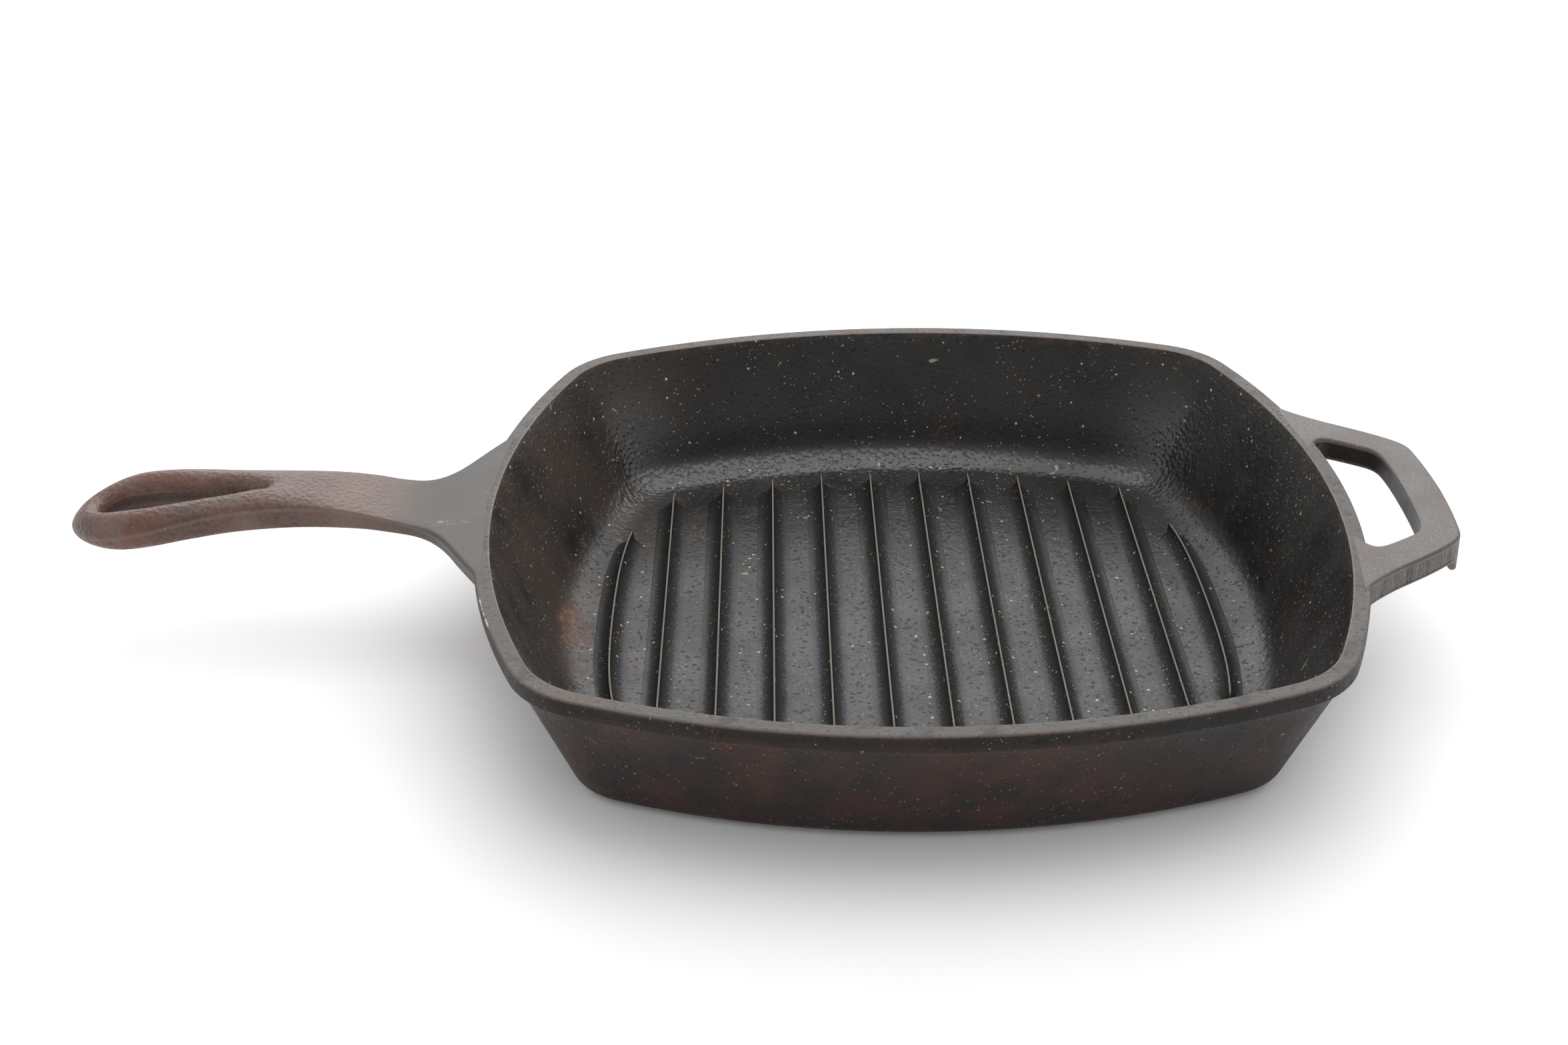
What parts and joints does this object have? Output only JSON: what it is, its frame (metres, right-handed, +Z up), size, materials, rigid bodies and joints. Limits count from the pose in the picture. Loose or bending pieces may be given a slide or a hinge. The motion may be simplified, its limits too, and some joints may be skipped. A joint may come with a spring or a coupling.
{
  "type": "square grill pan",
  "caption": "Square cast-iron grill pan with raised grill ribs, an arched long handle with a teardrop hanging hole and a loop helper handle on the opposite side.",
  "frame": {"origin": "centre of the underside of the foot, where the pan rests", "axes": "+X from the long handle through the pan to the helper handle, +Y along the grill ribs away from the cook's left hand, +Z up out of the pan"},
  "size_m": [0.4221, 0.2666, 0.0539],
  "materials": {
    "cooking_iron": "seasoned, satin black",
    "wall_iron": "seasoned, brown-black patina",
    "rim_iron": "worn, satin grey",
    "handle_iron": "orange-peel as-cast, brown-grey",
    "helper_iron": "fine-grained as-cast, brown-grey"
  },
  "bodies": {
    "root": {"pan_floor": "cooking_iron", "grill_rib_01": "cooking_iron", "grill_rib_02": "cooking_iron", "grill_rib_03": "cooking_iron", "grill_rib_04": "cooking_iron", "grill_rib_05": "cooking_iron", "grill_rib_06": "cooking_iron", "grill_rib_07": "cooking_iron", "grill_rib_08": "cooking_iron", "grill_rib_09": "cooking_iron", "grill_rib_10": "cooking_iron", "grill_rib_11": "cooking_iron", "grill_rib_12": "cooking_iron", "base_foot": "wall_iron", "wall_right": "wall_iron", "wall_back": "wall_iron", "wall_left": "wall_iron", "wall_front": "wall_iron", "wall_corner_right_back": "wall_iron", "wall_corner_back_left": "wall_iron", "wall_corner_left_front": "wall_iron", "wall_corner_front_right": "wall_iron", "rim_band": "rim_iron", "handle_web": "handle_iron", "handle_grip": "handle_iron", "helper_handle": "helper_iron", "helper_lip": "helper_iron"}
  },
  "joints": []
}
